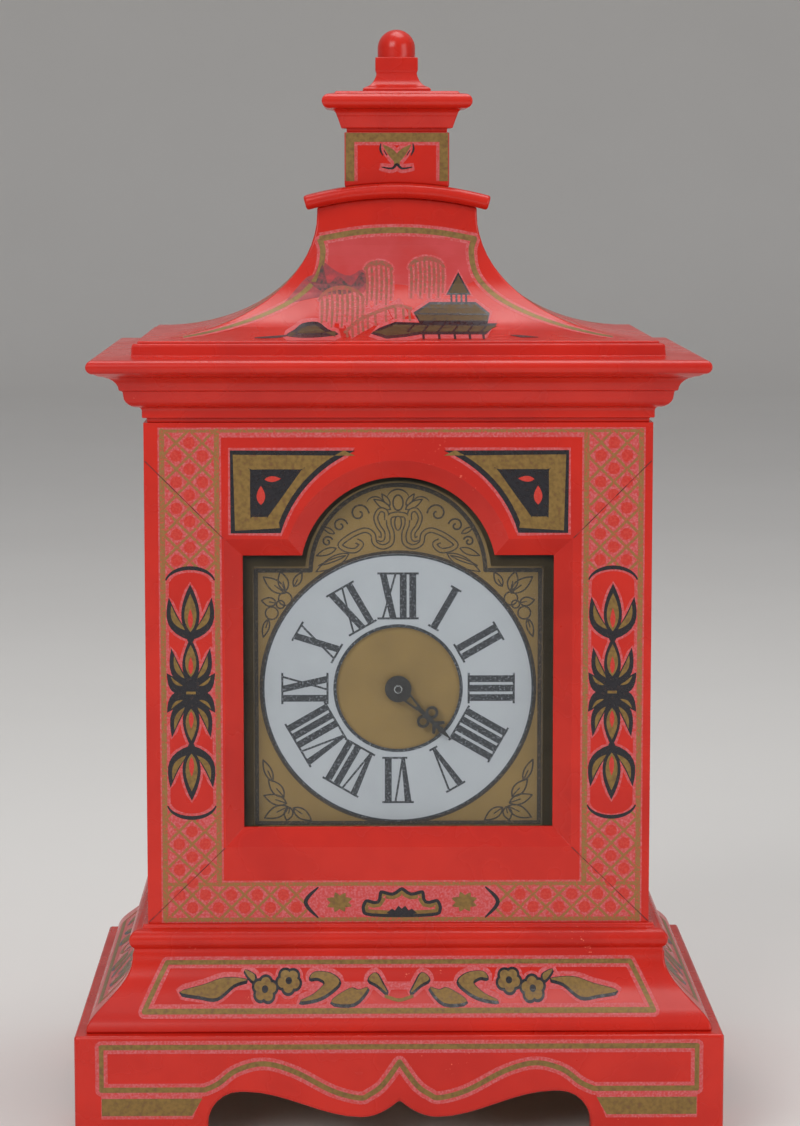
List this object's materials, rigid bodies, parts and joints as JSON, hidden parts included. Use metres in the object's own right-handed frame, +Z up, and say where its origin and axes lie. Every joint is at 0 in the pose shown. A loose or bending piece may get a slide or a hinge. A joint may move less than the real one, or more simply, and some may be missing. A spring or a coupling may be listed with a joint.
{
  "type": "mantel clock",
  "caption": "Bell-top mantel clock in painted lacquer: bracket-foot plinth, break-arch glazed dial, stepped cornice, concave roof with finial, hinged back door and wheel movement.",
  "frame": {"origin": "on the table under the middle of the plinth", "axes": "+X to the right as seen from the dial side, +Y to the back, +Z up; the dial faces -Y"},
  "size_m": [0.1906, 0.1386, 0.3277],
  "materials": {
    "lacquer": "gloss coral-red lacquer with gilt and black painted decoration",
    "bare_wood": "unfinished softwood",
    "glass": "clear flat glass",
    "black_paint": "satin black",
    "dial_brass": "matted gilt brass with printed ornament",
    "silvered": "silvered, brushed round",
    "blued_steel": "heat-blued",
    "brass": "polished and lacquered",
    "steel": "polished"
  },
  "bodies": {
    "case": {"apron_front": "lacquer", "apron_back": "lacquer", "apron_sides": "lacquer", "base_moulding_front": "lacquer", "base_moulding_back": "lacquer", "base_moulding_sides": "lacquer", "case_sides": "lacquer", "front_stiles": "lacquer", "front_rail_bottom": "lacquer", "front_rail_top": "lacquer", "back_frame": "lacquer", "cornice_front": "lacquer", "cornice_back": "lacquer", "cornice_sides": "lacquer", "roof_front": "lacquer", "roof_back": "lacquer", "roof_sides": "lacquer", "roof_ledge": "lacquer", "lantern_block": "lacquer", "lantern_cap": "lacquer", "finial": "lacquer", "foot_blocks": "bare_wood", "plinth_board": "bare_wood", "case_floor": "bare_wood", "case_top_board": "bare_wood", "glass_pane": "glass", "dial_mask": "black_paint", "dial_plate": "dial_brass", "chapter_ring": "silvered", "hairspring": "blued_steel", "dial_feet": "brass", "hinge_case_leaves": "brass", "case_screws": "brass", "front_plate": "brass", "rear_plate": "brass", "pillars": "brass", "dial_screws": "steel", "hinge_pins": "steel"},
    "door": {"back_door": "lacquer", "door_knob": "brass", "hinge_door_leaves": "brass", "door_screws": "brass"},
    "turn_button": {"turn_button": "brass"},
    "hour_work": {"hour_wheel": "brass", "hour_hand": "blued_steel"},
    "centre_arbor": {"centre_arbor": "steel"},
    "minute_wheel": {"minute_wheel": "brass"},
    "barrel": {"barrel": "brass", "mainspring": "steel"},
    "winding_arbor": {"barrel_arbor": "steel", "ratchet_wheel": "steel", "winding_key": "brass"},
    "click": {"click": "steel"},
    "intermediate_wheel": {"intermediate_wheel": "brass"},
    "centre_wheel": {"centre_wheel": "brass"},
    "third_wheel": {"third_wheel": "brass"},
    "fourth_wheel": {"fourth_wheel": "brass"},
    "escape_wheel": {"escape_wheel": "brass"},
    "lever": {"lever": "steel"},
    "balance": {"balance": "brass"}
  },
  "joints": [
    {"name": "door_hinge", "type": "hinge", "parent": "case", "child": "door", "pos_m": [0.0503, 0.0501, 0.133], "axis": [0, 0, -1], "range_deg": [0, 110]},
    {"name": "turn_button_pivot", "type": "hinge", "parent": "case", "child": "turn_button", "pos_m": [-0.057, 0.0494, 0.13575], "axis": [0, 1, 0], "range_deg": [0, 90]},
    {"name": "third_wheel_spin", "type": "hinge", "parent": "case", "child": "third_wheel", "pos_m": [-0.01715, 0, 0.1419], "axis": [0, -1, 0], "continuous": true},
    {"name": "centre_wheel_spin", "type": "hinge", "parent": "case", "child": "centre_wheel", "pos_m": [0, 0, 0.132], "axis": [0, -1, 0], "continuous": true},
    {"name": "intermediate_wheel_spin", "type": "hinge", "parent": "case", "child": "intermediate_wheel", "pos_m": [0.0185, 0, 0.12085], "axis": [0, -1, 0], "continuous": true},
    {"name": "barrel_spin", "type": "hinge", "parent": "case", "child": "barrel", "pos_m": [0, 0, 0.098], "axis": [0, -1, 0], "continuous": true},
    {"name": "fourth_wheel_spin", "type": "hinge", "parent": "case", "child": "fourth_wheel", "pos_m": [-0.0142, 0, 0.15864], "axis": [0, -1, 0], "continuous": true},
    {"name": "escape_wheel_spin", "type": "hinge", "parent": "case", "child": "escape_wheel", "pos_m": [0.002, 0, 0.15864], "axis": [0, -1, 0], "continuous": true},
    {"name": "hand_setting", "type": "hinge", "parent": "case", "child": "centre_arbor", "pos_m": [0, 0, 0.132], "axis": [0, -1, 0], "continuous": true},
    {"name": "minute_wheel_spin", "type": "hinge", "parent": "case", "child": "minute_wheel", "pos_m": [-0.00849, 0, 0.12351], "axis": [0, -1, 0], "continuous": true},
    {"name": "hour_hand_spin", "type": "hinge", "parent": "case", "child": "hour_work", "pos_m": [0, 0, 0.132], "axis": [0, -1, 0], "continuous": true},
    {"name": "winding", "type": "hinge", "parent": "case", "child": "winding_arbor", "pos_m": [0, 0, 0.098], "axis": [0, -1, 0], "continuous": true},
    {"name": "click_lift", "type": "hinge", "parent": "case", "child": "click", "pos_m": [-0.0002, 0, 0.113], "axis": [0, 1, 0], "range_deg": [0, 12]},
    {"name": "lever_swing", "type": "hinge", "parent": "case", "child": "lever", "pos_m": [0.0125, 0, 0.15864], "axis": [0, -1, 0], "range_deg": [-5, 5]},
    {"name": "balance_swing", "type": "hinge", "parent": "case", "child": "balance", "pos_m": [0.0245, 0, 0.15864], "axis": [0, -1, 0], "range_deg": [-270, 270]}
  ],
  "couplings": [
    {"joint": "centre_wheel_spin", "follows": "third_wheel_spin", "ratio": -0.125},
    {"joint": "intermediate_wheel_spin", "follows": "third_wheel_spin", "ratio": 0.025},
    {"joint": "barrel_spin", "follows": "third_wheel_spin", "ratio": -0.0041667},
    {"joint": "fourth_wheel_spin", "follows": "third_wheel_spin", "ratio": -7.5},
    {"joint": "escape_wheel_spin", "follows": "third_wheel_spin", "ratio": 60},
    {"joint": "minute_wheel_spin", "follows": "hand_setting", "ratio": -0.33333},
    {"joint": "hour_hand_spin", "follows": "hand_setting", "ratio": 0.083333}
  ]
}
